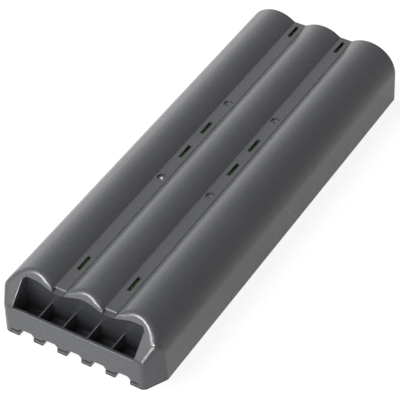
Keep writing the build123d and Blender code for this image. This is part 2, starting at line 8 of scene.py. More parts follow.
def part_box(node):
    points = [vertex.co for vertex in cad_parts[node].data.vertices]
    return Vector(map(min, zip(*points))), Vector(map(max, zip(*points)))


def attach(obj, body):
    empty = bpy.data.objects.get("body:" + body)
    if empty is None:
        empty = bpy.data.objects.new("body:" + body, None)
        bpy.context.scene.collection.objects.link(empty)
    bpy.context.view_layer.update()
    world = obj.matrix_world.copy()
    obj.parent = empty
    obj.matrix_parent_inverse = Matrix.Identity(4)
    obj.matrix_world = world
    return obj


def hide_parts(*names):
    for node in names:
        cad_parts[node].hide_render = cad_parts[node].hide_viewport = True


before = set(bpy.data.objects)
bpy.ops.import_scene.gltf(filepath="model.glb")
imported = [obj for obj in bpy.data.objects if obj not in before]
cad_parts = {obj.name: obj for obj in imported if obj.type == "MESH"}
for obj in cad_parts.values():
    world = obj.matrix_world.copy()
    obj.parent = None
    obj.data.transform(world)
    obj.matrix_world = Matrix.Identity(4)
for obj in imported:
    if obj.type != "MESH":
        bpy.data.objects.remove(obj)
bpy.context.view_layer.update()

# The moulded shell and cover are drawn in millimetres, with the contact end at y = 0,
# and moved into the frame at the end. The driving dimensions are those of the solids.
MM = 0.001
SHELL_LOW, SHELL_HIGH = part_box("top_shell")
LENGTH = (SHELL_HIGH.y - SHELL_LOW.y) / MM
HALF_WIDTH = SHELL_HIGH.x / MM
TOP_Z = SHELL_HIGH.z / MM
PITCH = 17.4
RADIUS = 10.15
CENTRE_Z = TOP_Z - RADIUS
DRAFT = math.radians(1.78)
FRONT_HALF_WIDTH = 24.1
CORNER_DEPTH = 7.2
BEND_Z = 11.1
LEAN = math.tan(math.radians(43.5))
ROWS = (-PITCH, 0.0, PITCH)
VALLEYS = (-PITCH / 2, PITCH / 2)

# Rounded rims: wide over the leaning face of each hump, narrower at the outer sides and at the
# rear end, and almost none across the valleys, beside which they rise over a short width
FRONT_RIM = 3.0
SIDE_RIM = 1.5
SIDE_RIM_START = 8.3
SIDE_RIM_SPAN = 1.8
REAR_RIM = 0.4
VALLEY_RIM = 0.12
RIM_RISE = 2.1

# Flat valleys, with a groove along the right side and a lowered, sloped front end. The step up
# from the slope has a bevel SLOPE_EDGE wide. A bevel falls EDGE_DROP for each millimetre of width.
FLOOR_Z = 18.0
FOOT_HALF = PITCH / 2 - math.sqrt(RADIUS**2 - (FLOOR_Z - CENTRE_Z) ** 2)
GROOVE_START = 2.05
GROOVE_END = 2.38
GROOVE_Z = 17.74
GROOVE_REAR_GAP = 2.4
SLOPE_HALF = 1.95
SLOPE_START_Z = 17.3
SLOPE_END_Z = 17.5
SLOPE_END_Y = 7.9
SLOPE_EDGE = 0.36
EDGE_DROP = 0.88

# Slots over the cells, and dimples with a small round pit, all with a broken edge. One dimple
# holds the gate mark.
MIDDLE_Y = 84.8
SLOT_LENGTH = 6.3
SLOT_WIDTH = 1.15
SLOT_OFFSETS = (-64.3, -6.5, 6.5, 64.3)
DIMPLE_OFFSETS = (-20.5, 20.5)
DIMPLE_RADIUS = 1.5
DIMPLE_DEPTH = 0.5
PIT_RADIUS = 0.55
PIT_BALL = 0.64
GATE_X = VALLEYS[0]
GATE_Y = MIDDLE_Y + DIMPLE_OFFSETS[0]
GATE_RADIUS = 0.85
GATE_HEIGHT = 0.36
OPENING_EDGE = 0.14

# Room for the cells, with a guide post in each front corner
CAVITY_RADIUS = 8.65
CAVITY_CEILING_Z = 17.1
CAVITY_FRONT_Y = 10.0
REAR_WALL = 1.6
GUIDE_INNER_X = 20.4
GUIDE_REAR_Y = 14.2
GUIDE_LOW_Z = 3.4
GUIDE_TOP_Z = 10.0

# Finger pocket in the leaning front, with ribs between its bays. The top of its front wall
# is bevelled by LIP_EDGE and falls inwards by WALL_TILT for each millimetre.
POCKET_HALF = 20.9
POCKET_CREST_Z = 18.3
POCKET_TROUGH_Z = 17.25
POCKET_CORNER = 1.4
POCKET_BACK_Y = 8.4
POCKET_FLOOR_Z = 4.0
SCOOP_RADIUS = 0.3
WINDOW_EDGE = 0.38
FRONT_WALL = 1.2
WALL_TOP_Z = 10.75
WALL_TILT = 0.2
LIP_EDGE = 0.24
RIB_HALF = 0.24
RIB_TOP_Z = 9.9
RIB_X = (-12.7, -4.3, 4.1, 12.5)

# Notches in the contact edge, and the passages behind them
NOTCH_X = (-16.8, -8.4, 0.0, 8.4, 16.8)
NOTCH_HALF = 2.55
NOTCH_HEIGHT = 3.0
NOTCH_CHAMFER = 0.7
NOTCH_DEPTH = 9.0
NOTCH_EDGE = 0.12
PASSAGE_HALF = 1.65
PASSAGE_HEIGHT = 0.5

# Bottom cover with its front fingers, the seam above them, two rails and a shallow bare panel
FINGER_HEIGHT = 2.0
TONGUE_HALF = 22.1
COVER_THICKNESS = 1.6
COVER_HALF = 26.45
COVER_GAP = 0.05
COVER_EDGE = 0.1
SEAM_GAP = 0.5
SEAM_DEPTH = 1.6
RAIL_INNER_X = 23.5
RAIL_OUTER_X = 25.6
RAIL_START_Y = 20.0
RAIL_END_Y = 149.0
RAIL_TOP_Z = 3.0
REBATE_END_WALL = 1.2
PANEL_HALF_WIDTH = 20.0
PANEL_START_Y = 32.0
PANEL_END_Y = 126.0
PANEL_DEPTH = 0.3
PANEL_CORNER = 3.0

# How finely curved faces and rounded edges are divided
ARC_STEP = math.radians(4)
SCOOP_STEP = math.radians(9)
POCKET_CORNER_STEP = math.radians(10)
PANEL_CORNER_STEP = math.radians(15)
POCKET_WAVE_STEPS = 48
RIM_STEPS = 8
LATHE_STEPS = 48
PROFILE_STEPS = 10
WINDOW_EDGE_STEPS = 3
EDGE_STEPS = 2

# How often the angle of the skin's corner column is halved to find it
HALVINGS = 40

# How far cutting bodies reach past a face, a smaller margin, how near counts as on a face, and
# how near counts as one point
OVER = 1.0
MARGIN = 0.1
NEAR = 0.01
WELD = 0.001

# Edges over EDGE_ANGLE can be rounded, faces within FLAT_ANGLE are one, shading is smooth across
# edges up to SMOOTH_ANGLE, and large faces lead it by NORMAL_WEIGHT
EDGE_ANGLE = math.radians(22)
FLAT_ANGLE = math.radians(0.2)
SMOOTH_ANGLE = math.radians(32)
NORMAL_WEIGHT = 60


def arc(cx, cz, radius, start, end, step=ARC_STEP):
    """Points of an arc in X and Z, both ends included."""
    count = max(2, round(abs(end - start) / step))
    angles = [start + (end - start) * k / count for k in range(count + 1)]
    return [(cx + radius * math.cos(a), cz + radius * math.sin(a)) for a in angles]


def prism(outline, start, end, axis="Y"):
    """A closed body: a flat outline pushed along one axis."""
    place = {
        "X": lambda u, v, w: (w, u, v),
        "Y": lambda u, v, w: (u, w, v),
        "Z": lambda u, v, w: (u, v, w),
    }[axis]
    count = len(outline)
    bm = bmesh.new()
    verts = [bm.verts.new(place(u, v, w)) for w in (start, end) for u, v in outline]
    bm.faces.new(verts[:count])
    bm.faces.new(verts[count:])
    for k in range(count):
        n = (k + 1) % count
        bm.faces.new((verts[k], verts[n], verts[count + n], verts[count + k]))
    bmesh.ops.recalc_face_normals(bm, faces=bm.faces)
    return bm


def block(x0, x1, y0, y1, z0, z1):
    """A box between two corners."""
    return prism([(x0, z0), (x1, z0), (x1, z1), (x0, z1)], y0, y1)


def to_object(bodies, name="work"):
    """One object from one body or from several that don't touch."""
    mesh = bpy.data.meshes.new(name)
    whole = bmesh.new()
    for bm in bodies:
        part = bpy.data.meshes.new("part")
        bm.to_mesh(part)
        bm.free()
        whole.from_mesh(part)
        bpy.data.meshes.remove(part)
    whole.to_mesh(mesh)
    whole.free()
    obj = bpy.data.objects.new(name, mesh)
    bpy.context.scene.collection.objects.link(obj)
    return obj


def apply_modifiers(obj):
    """Replaces an object's mesh by what its modifiers make of it."""
    depsgraph = bpy.context.evaluated_depsgraph_get()
    new = bpy.data.meshes.new_from_object(obj.evaluated_get(depsgraph))
    old = obj.data
    obj.modifiers.clear()
    obj.data = new
    bpy.data.meshes.remove(old)


def combine(obj, bodies, operation):
    """Cuts bodies out of an object, or adds them to it."""
    tool = to_object(bodies)
    modifier = obj.modifiers.new("combine", "BOOLEAN")
    modifier.operation = operation
    modifier.solver = "MANIFOLD"
    modifier.object = tool
    apply_modifiers(obj)
    mesh = tool.data
    bpy.data.objects.remove(tool)
    bpy.data.meshes.remove(mesh)


def cut(obj, *bodies):
    """Cuts bodies that don't touch out of an object."""
    combine(obj, bodies, "DIFFERENCE")


def round_edges(obj, width, segments, chosen):
    """Rounds the sharp convex edges whose middle chosen accepts, all by the same width."""
    bm = bmesh.new()
    bm.from_mesh(obj.data)
    bmesh.ops.remove_doubles(bm, verts=bm.verts, dist=WELD)
    bmesh.ops.dissolve_degenerate(bm, edges=bm.edges, dist=WELD)
    bmesh.ops.dissolve_limit(
        bm, angle_limit=FLAT_ANGLE, verts=bm.verts, edges=bm.edges, delimit={"NORMAL"}
    )
    bm.normal_update()
    picked = []
    for edge in bm.edges:
        if len(edge.link_faces) == 2 and edge.calc_face_angle_signed(0.0) > EDGE_ANGLE:
            if chosen((edge.verts[0].co + edge.verts[1].co) / 2):
                picked.append(edge)
    bmesh.ops.bevel(
        bm, geom=picked, offset=width, offset_type="OFFSET", segments=segments, profile=0.5,
        affect="EDGES", clamp_overlap=False, miter_outer="SHARP", miter_inner="SHARP",
    )
    bm.to_mesh(obj.data)
    bm.free()


def smooth(value):
    """A soft step from 0 to 1."""
    value = min(1.0, max(0.0, value))
    return value * value * (3.0 - 2.0 * value)


def front_radius(x):
    """Radius of the rim over the leaning face: large on the humps, almost none in the valleys."""
    outward = smooth((abs(x) - PITCH - SIDE_RIM_START) / SIDE_RIM_SPAN)
    full = FRONT_RIM + (SIDE_RIM - FRONT_RIM) * outward
    gap = min(abs(x - valley) for valley in VALLEYS) - FOOT_HALF
    return VALLEY_RIM + (full - VALLEY_RIM) * smooth(gap / RIM_RISE)


def rear_radius(x):
    """Radius of the rim round the rear end."""
    gap = min(abs(x - valley) for valley in VALLEYS) - FOOT_HALF
    return VALLEY_RIM + (REAR_RIM - VALLEY_RIM) * smooth(gap / (2 * REAR_RIM))


def turned(start, end, share):
    """The direction between two others, at a share of the angle between them."""
    angle = start.angle(end)
    return (start * math.sin((1 - share) * angle) + end * math.sin(share * angle)) / math.sin(angle)


def lean_y(z):
    """Where the leaning face is at the height z."""
    return (z - BEND_Z) * LEAN


LEAN_OUT = Vector((0.0, -1.0, LEAN)).normalized()
FRONT_OUT = Vector((0.0, -1.0, 0.0))
REAR_OUT = Vector((0.0, 1.0, 0.0))


def facet_out(side):
    """Outward direction of the flat facet at a front corner."""
    return Vector((side * CORNER_DEPTH, FRONT_HALF_WIDTH - HALF_WIDTH, 0.0)).normalized()


def ball_y(point, radius, out, on_face):
    """How far back a ball under the skin sits when it also touches the end face."""
    flat = Vector((point.x, 0.0, point.z)) - on_face
    return (-radius - out.dot(flat)) / out.y


def rim_ball(point, out, side):
    """The rim's ball at one column of the skin: its centre, its radius, and a number that is
    positive where it touches the leaning face and negative where it touches the corner facet."""
    radius = front_radius(point.x)
    centre = point - out * radius
    lean_at = ball_y(centre, radius, LEAN_OUT, Vector((0.0, 0.0, BEND_Z)))
    facet_at = ball_y(centre, radius, facet_out(side), Vector((side * FRONT_HALF_WIDTH, 0.0, 0.0)))
    centre.y = max(lean_at, facet_at)
    return centre, radius, lean_at - facet_at


def skin_columns():
    """Cross-section of the case from right to left: points with their outward directions, and
    the first and last of them whose rim touches the leaning face."""
    foot = math.asin((FLOOR_Z - CENTRE_Z) / RADIUS)
    right_out = Vector((math.cos(DRAFT), 0.0, math.sin(DRAFT)))
    columns = [(Vector((HALF_WIDTH, 0.0, 0.0)), right_out)]

    def hump(row, start, end):
        """Points over one hump between two angles."""
        count = round((end - start) / ARC_STEP)
        for k in range(count + 1):
            angle = start + (end - start) * k / count
            out = Vector((math.cos(angle), 0.0, math.sin(angle)))
            columns.append((Vector((row, 0.0, CENTRE_Z)) + out * RADIUS, out))

    def valley(middle):
        """The two foot points of one valley."""
        for side in (1, -1):
            x = middle + side * (FOOT_HALF - VALLEY_RIM)
            columns.append((Vector((x, 0.0, FLOOR_Z)), Vector((0.0, 0.0, 1.0))))

    # The column where the rim's ball touches both the leaning face and the corner facet
    low, high = DRAFT, math.pi / 2
    for _ in range(HALVINGS):
        apex = (low + high) / 2
        out = Vector((math.cos(apex), 0.0, math.sin(apex)))
        point = Vector((ROWS[2], 0.0, CENTRE_Z)) + out * RADIUS
        low, high = (low, apex) if rim_ball(point, out, 1)[2] > 0 else (apex, high)
    hump(ROWS[2], DRAFT, apex)
    first_lean = len(columns) - 1
    columns.pop()
    hump(ROWS[2], apex, math.pi - foot)
    valley(VALLEYS[1])
    hump(ROWS[1], foot, math.pi - foot)
    valley(VALLEYS[0])
    hump(ROWS[0], foot, math.pi - apex)
    columns.pop()
    last_lean = len(columns)
    hump(ROWS[0], math.pi - apex, math.pi - DRAFT)
    left_out = Vector((-math.cos(DRAFT), 0.0, math.sin(DRAFT)))
    columns.append((Vector((-HALF_WIDTH, 0.0, 0.0)), left_out))
    return columns, first_lean, last_lean


def make_skin():
    """The closed outer body with all its rounded rims, before anything is cut out of it."""
    bm = bmesh.new()
    columns, first_lean, last_lean = skin_columns()
    steps = [k / RIM_STEPS for k in range(RIM_STEPS + 1)]

    def arc_verts(centre, radius, start, end, shares=steps, flat=False):
        """Points round a ball from one direction to another, put on the ground if flat."""
        places = [centre + turned(start, end, share) * radius for share in shares]
        if flat:
            for place in places:
                place.z = 0.0
        return [bm.verts.new(place) for place in places]

    def strip(first, second):
        """Faces between two rows of points."""
        for k in range(len(first) - 1):
            bm.faces.new((first[k], first[k + 1], second[k + 1], second[k]))

    def patch(arcs, centre, radius):
        """Faces round a middle point on a ball, out to the arcs that close round it."""
        ring = []
        for run in arcs:
            ring += run[:-1]
        outward = sum((vert.co - centre for vert in ring), Vector()).normalized()
        middle = bm.verts.new(centre + outward * radius)
        for k in range(len(ring)):
            bm.faces.new((ring[k], ring[(k + 1) % len(ring)], middle))

    # The rims along the front and the rear, and the skin between them
    last = len(columns) - 1
    front, rear = [], []
    for index, (point, out) in enumerate(columns):
        side = 1 if point.x > 0 else -1
        centre, radius, _ = rim_ball(point, out, side)
        end_out = LEAN_OUT if first_lean <= index <= last_lean else facet_out(side)
        at_bottom = index in (0, last)
        front.append(arc_verts(centre, radius, out, end_out, flat=at_bottom))
        radius = rear_radius(point.x)
        centre = point - out * radius
        centre.y = LENGTH - radius
        rear.append(arc_verts(centre, radius, out, REAR_OUT, flat=at_bottom))
    facet_arcs = {}
    for side, index in ((1, first_lean), (-1, last_lean)):
        point, out = columns[index]
        centre, radius, _ = rim_ball(point, out, side)
        facet_arcs[side] = [front[index][0]]
        facet_arcs[side] += arc_verts(centre, radius, out, facet_out(side), steps[1:])
    for k in range(last):
        strip(rear[k], rear[k + 1])
        bm.faces.new((front[k][0], front[k + 1][0], rear[k + 1][0], rear[k][0]))
        first, second = front[k], front[k + 1]
        if k + 1 == first_lean:
            second = facet_arcs[1]
        if k == last_lean:
            first = facet_arcs[-1]
        strip(first, second)

    # The rims between the leaning face, the two corner facets and the upright front
    lean_corner, front_corner = {}, {}
    for side, index in ((1, first_lean), (-1, last_lean)):
        out = columns[index][1]
        facet = facet_out(side)
        apex, radius, _ = rim_ball(columns[index][0], out, side)
        low_z = BEND_Z - radius * (1.0 + LEAN_OUT.y) / LEAN_OUT.z
        low_x = side * FRONT_HALF_WIDTH - (radius + facet.y * radius) / facet.x
        low = Vector((low_x, radius, low_z))
        top_run = [front[index][-1]]
        top_run += arc_verts(apex, radius, LEAN_OUT, facet, steps[1:-1])
        top_run.append(facet_arcs[side][-1])
        low_run = arc_verts(low, radius, LEAN_OUT, facet)
        strip(top_run, low_run)
        patch((list(reversed(front[index])), facet_arcs[side], list(reversed(top_run))), apex, radius)
        upright = [low_run[-1]] + arc_verts(low, radius, facet, FRONT_OUT, steps[1:])
        ground = arc_verts(Vector((low.x, low.y, 0.0)), radius, facet, FRONT_OUT, flat=True)
        strip(upright, ground)
        bend = [low_run[0]]
        bend += arc_verts(low, radius, LEAN_OUT, FRONT_OUT, steps[1:-1])
        bend.append(upright[-1])
        patch((low_run, upright, list(reversed(bend))), low, radius)
        lean_corner[side] = bend
        front_corner[side] = ground
        beside = front[:index][::-1] if side > 0 else front[index + 1:]
        facet_face = [facet_arcs[side][-1]] + [run[-1] for run in beside]
        bm.faces.new(facet_face + [ground[0], low_run[-1]])
    strip(lean_corner[1], lean_corner[-1])

    # The flat faces of the two ends and the bottom
    leaning_face = [run[-1] for run in front[first_lean:last_lean + 1]]
    bm.faces.new(leaning_face + [lean_corner[-1][0], lean_corner[1][0]])
    bm.faces.new((lean_corner[1][-1], front_corner[1][-1], front_corner[-1][-1], lean_corner[-1][-1]))
    bm.faces.new([run[-1] for run in rear])
    bottom = front_corner[1][::-1] + front[0][::-1] + rear[0]
    bottom += rear[last][::-1] + front[last] + front_corner[-1]
    bm.faces.new(bottom)
    bmesh.ops.recalc_face_normals(bm, faces=bm.faces)
    return bm


def cavity_outline():
    """Cross-section of the room for the cells."""
    foot = math.asin((CAVITY_CEILING_Z - CENTRE_Z) / CAVITY_RADIUS)
    half = PITCH + CAVITY_RADIUS
    points = [(half, -OVER)]
    points += arc(ROWS[2], CENTRE_Z, CAVITY_RADIUS, 0.0, math.pi - foot)
    points += arc(ROWS[1], CENTRE_Z, CAVITY_RADIUS, foot, math.pi - foot)
    points += arc(ROWS[0], CENTRE_Z, CAVITY_RADIUS, foot, math.pi)
    points.append((-half, -OVER))
    return points


def pocket_outline():
    """The window of the pocket: its top edge is a shallow wave that follows the humps."""
    middle = (POCKET_CREST_Z + POCKET_TROUGH_Z) / 2
    swing = (POCKET_CREST_Z - POCKET_TROUGH_Z) / 2
    corner_x = POCKET_HALF - POCKET_CORNER
    corner_z = POCKET_CREST_Z - POCKET_CORNER
    points = [(-POCKET_HALF, WALL_TOP_Z), (POCKET_HALF, WALL_TOP_Z)]
    points += arc(corner_x, corner_z, POCKET_CORNER, 0.0, math.pi / 2, POCKET_CORNER_STEP)
    for k in range(POCKET_WAVE_STEPS + 1):
        x = PITCH - 2 * PITCH * k / POCKET_WAVE_STEPS
        points.append((x, middle + swing * math.cos(2 * math.pi * x / PITCH)))
    points += arc(-corner_x, corner_z, POCKET_CORNER, math.pi / 2, math.pi, POCKET_CORNER_STEP)
    return points


def bay_outline():
    """Side view of the pocket behind the front wall, with its scooped floor."""
    top_z = RIB_TOP_Z + OVER / 2
    centre_y = POCKET_BACK_Y - SCOOP_RADIUS
    centre_z = POCKET_FLOOR_Z + SCOOP_RADIUS
    points = [(FRONT_WALL, top_z), (FRONT_WALL, POCKET_FLOOR_Z)]
    points += arc(centre_y, centre_z, SCOOP_RADIUS, -math.pi / 2, 0.0, SCOOP_STEP)
    points.append((POCKET_BACK_Y, top_z))
    return points


def notch_outline(x):
    """One contact notch seen from the front."""
    left = x - NOTCH_HALF
    right = x + NOTCH_HALF
    shoulder = NOTCH_HEIGHT - NOTCH_CHAMFER
    return [
        (left, -OVER),
        (right, -OVER),
        (right, shoulder),
        (right - NOTCH_CHAMFER, NOTCH_HEIGHT),
        (left + NOTCH_CHAMFER, NOTCH_HEIGHT),
        (left, shoulder),
    ]


def lathe(profile, centre):
    """A closed body turned about an upright axis, from radii and heights that start and end on it."""
    bm = bmesh.new()
    rings = []
    for radius, z in profile:
        count = LATHE_STEPS if radius > WELD else 1
        turns = [2 * math.pi * k / LATHE_STEPS for k in range(count)]
        ring = [Vector((radius * math.cos(a), radius * math.sin(a), z)) for a in turns]
        rings.append([bm.verts.new(centre + place) for place in ring])
    for lower, upper in zip(rings, rings[1:]):
        for k in range(LATHE_STEPS):
            n = k + 1
            around = ((lower, k), (lower, n), (upper, n), (upper, k))
            corners = [ring[m % len(ring)] for ring, m in around]
            bm.faces.new(list(dict.fromkeys(corners)))
    bmesh.ops.recalc_face_normals(bm, faces=bm.faces)
    return bm


def half_turn(radius, height, start, end):
    """Radii and heights along a round or oval profile, both angles measured from straight down."""
    angles = [start + (end - start) * k / PROFILE_STEPS for k in range(PROFILE_STEPS + 1)]
    return [(radius * math.sin(a), -height * math.cos(a)) for a in angles]


def make_room(shell):
    """The room for the cells, with a guide post in each front corner."""
    cut(shell, prism(cavity_outline(), CAVITY_FRONT_Y, LENGTH - REAR_WALL))
    for side in (-1, 1):
        inner, outer = sorted((side * GUIDE_INNER_X, side * (PITCH + CAVITY_RADIUS + OVER / 2)))
        post = block(inner, outer, CAVITY_FRONT_Y - OVER / 2, GUIDE_REAR_Y, GUIDE_LOW_Z, GUIDE_TOP_Z)
        combine(shell, [post], "UNION")


def make_pocket(shell):
    """The finger pocket with its rounded mouth, the bevelled lip of its wall, its ribs and bays."""
    cut(shell, prism(pocket_outline(), -OVER, POCKET_BACK_Y))
    round_edges(shell, WINDOW_EDGE, WINDOW_EDGE_STEPS, lambda middle: (
        middle.z > BEND_Z + 2 * MARGIN and middle.y < POCKET_BACK_Y - MARGIN
        and abs(middle.x) < POCKET_HALF + NEAR and abs(middle.y - lean_y(middle.z)) < NEAR
    ))
    above = WALL_TOP_Z + OVER / 2
    lip_z = WALL_TOP_Z - EDGE_DROP * LIP_EDGE
    inner = FRONT_WALL + OVER
    lip = [(-OVER, lip_z), (0.0, lip_z), (LIP_EDGE, WALL_TOP_Z)]
    lip += [(inner, WALL_TOP_Z - WALL_TILT * inner), (inner, above), (-OVER, above)]
    cut(shell, prism(lip, -POCKET_HALF, POCKET_HALF, "X"))
    cut(shell, block(-POCKET_HALF, POCKET_HALF, FRONT_WALL, POCKET_BACK_Y, RIB_TOP_Z, above))
    ribs = [x + side * RIB_HALF for x in RIB_X for side in (-1, 1)]
    walls = [-POCKET_HALF] + ribs + [POCKET_HALF]
    cut(shell, *[prism(bay_outline(), x0, x1, "X") for x0, x1 in zip(walls[0::2], walls[1::2])])


def make_valleys(shell):
    """The sloped front of each valley with its bevelled step, and the groove beside the hump."""
    high = TOP_Z + OVER
    start_y = lean_y(SLOPE_START_Z)
    rise = (SLOPE_END_Z - SLOPE_START_Z) / (SLOPE_END_Y - start_y)
    edge_y = SLOPE_END_Y + SLOPE_EDGE
    wedge = [(start_y - OVER, SLOPE_START_Z - rise * OVER), (SLOPE_END_Y, SLOPE_END_Z)]
    wedge += [(SLOPE_END_Y, FLOOR_Z - EDGE_DROP * SLOPE_EDGE), (edge_y, FLOOR_Z)]
    wedge += [(edge_y, high), (start_y - OVER, high)]
    end_y = LENGTH - GROOVE_REAR_GAP
    for x in VALLEYS:
        cut(shell, prism(wedge, x - SLOPE_HALF, x + SLOPE_HALF, "X"))
        cut(shell, block(x + GROOVE_START, x + GROOVE_END, 0.0, end_y, GROOVE_Z, high))


def make_contact_edge(shell):
    """The rebate for the cover, the notches in the front edge and the passages behind them."""
    tongue, rebate = TONGUE_HALF + COVER_GAP, COVER_HALF + COVER_GAP
    rear = LENGTH - REBATE_END_WALL
    cut(shell, block(-tongue, tongue, -OVER, CAVITY_FRONT_Y + MARGIN, -OVER, FINGER_HEIGHT))
    cut(shell, block(-rebate, rebate, CAVITY_FRONT_Y, rear, -OVER, COVER_THICKNESS))
    cut(shell, *[prism(notch_outline(x), -OVER, NOTCH_DEPTH) for x in NOTCH_X])
    round_edges(shell, NOTCH_EDGE, EDGE_STEPS, lambda middle: (
        abs(middle.y) < NEAR and abs(middle.x) < TONGUE_HALF + 2 * MARGIN
        and NEAR < middle.z < NOTCH_HEIGHT + NEAR
    ))
    half, start_y, end_y = PASSAGE_HALF, NOTCH_DEPTH - OVER, CAVITY_FRONT_Y + OVER
    low = NOTCH_HEIGHT - PASSAGE_HEIGHT
    cut(shell, *[block(x - half, x + half, start_y, end_y, low, NOTCH_HEIGHT) for x in NOTCH_X])


def make_openings(shell):
    """The slots over the cells, the dimples and the gate mark, with broken edges."""
    half, reach, high = SLOT_WIDTH / 2, SLOT_LENGTH / 2, TOP_Z + OVER
    cut(shell, *[
        block(x - half, x + half, MIDDLE_Y + y - reach, MIDDLE_Y + y + reach, CENTRE_Z, high)
        for x in VALLEYS for y in SLOT_OFFSETS
    ])
    dimple = half_turn(PIT_BALL, PIT_BALL, 0.0, math.asin(PIT_RADIUS / PIT_BALL))
    ledge = dimple[-1][1]
    dimple += [(DIMPLE_RADIUS, ledge), (DIMPLE_RADIUS, OVER), (0.0, OVER)]
    low = FLOOR_Z - DIMPLE_DEPTH
    places = [Vector((x, MIDDLE_Y + y, low - ledge)) for x in VALLEYS for y in DIMPLE_OFFSETS]
    cut(shell, *[lathe(dimple, place) for place in places])
    gate = Vector((GATE_X, GATE_Y, low - GATE_HEIGHT))
    combine(shell, [lathe(half_turn(GATE_RADIUS, 2 * GATE_HEIGHT, 0.0, math.pi), gate)], "UNION")
    round_edges(shell, OPENING_EDGE, EDGE_STEPS, lambda middle: (
        abs(middle.z - FLOOR_Z) < NEAR and SLOPE_END_Y + OVER < middle.y < LENGTH - GROOVE_REAR_GAP
        and min(abs(middle.x - x) for x in VALLEYS) < DIMPLE_RADIUS + MARGIN
    ))


def make_shell():
    """The deep upper moulding."""
    shell = to_object([make_skin()], "shell")
    make_room(shell)
    make_pocket(shell)
    make_valleys(shell)
    make_contact_edge(shell)
    make_openings(shell)
    return shell


def make_cover():
    """The flat lower moulding with its six front fingers, two rails and a shallow bare panel."""
    front, rear = CAVITY_FRONT_Y + COVER_GAP, LENGTH - REBATE_END_WALL - COVER_GAP
    cover = to_object([block(-COVER_HALF, COVER_HALF, front, rear, 0.0, COVER_THICKNESS)], "cover")
    overlap = CAVITY_FRONT_Y + OVER
    tongue = block(-TONGUE_HALF, TONGUE_HALF, NOTCH_DEPTH, overlap, 0.0, COVER_THICKNESS)
    combine(cover, [tongue], "UNION")
    notches = [x + side * NOTCH_HALF for x in NOTCH_X for side in (-1, 1)]
    edges = [-TONGUE_HALF] + notches + [TONGUE_HALF]
    top = FINGER_HEIGHT - COVER_GAP
    for x0, x1 in zip(edges[0::2], edges[1::2]):
        combine(cover, [block(x0, x1, 0.0, CAVITY_FRONT_Y - COVER_GAP, 0.0, top)], "UNION")
    low = FINGER_HEIGHT - SEAM_GAP
    cut(cover, block(-COVER_HALF, COVER_HALF, -OVER, SEAM_DEPTH, low, FINGER_HEIGHT + OVER))
    for side in (-1, 1):
        inner, outer = sorted((side * RAIL_INNER_X, side * RAIL_OUTER_X))
        rail = block(inner, outer, RAIL_START_Y, RAIL_END_Y, COVER_THICKNESS / 2, RAIL_TOP_Z)
        combine(cover, [rail], "UNION")
    middle_y = (PANEL_START_Y + PANEL_END_Y) / 2
    corner_x = PANEL_HALF_WIDTH - PANEL_CORNER
    corner_y = (PANEL_END_Y - PANEL_START_Y) / 2 - PANEL_CORNER
    panel = []
    for sx, sy, start in ((1, 1, 0.0), (-1, 1, 0.5), (-1, -1, 1.0), (1, -1, 1.5)):
        x, y = sx * corner_x, middle_y + sy * corner_y
        angles = start * math.pi, (start + 0.5) * math.pi
        panel += arc(x, y, PANEL_CORNER, *angles, PANEL_CORNER_STEP)
    cut(cover, prism(panel, -OVER, PANEL_DEPTH, "Z"))
    round_edges(cover, COVER_EDGE, EDGE_STEPS, lambda middle: (
        middle.y < CAVITY_FRONT_Y - MARGIN or middle.z < NEAR
    ))
    return cover


def into_frame(obj, name):
    """Scales a finished piece to metres and moves it to its place."""
    place = Matrix.Scale(MM, 4) @ Matrix.Translation((0.0, -LENGTH / 2, 0.0))
    obj.data.transform(place)
    obj.name = name
    obj.data.name = name
    obj.data.shade_smooth()
    obj.data.set_sharp_from_angle(angle=SMOOTH_ANGLE)
    weighted = obj.modifiers.new("normals", "WEIGHTED_NORMAL")
    weighted.keep_sharp = True
    weighted.weight = NORMAL_WEIGHT
    return obj


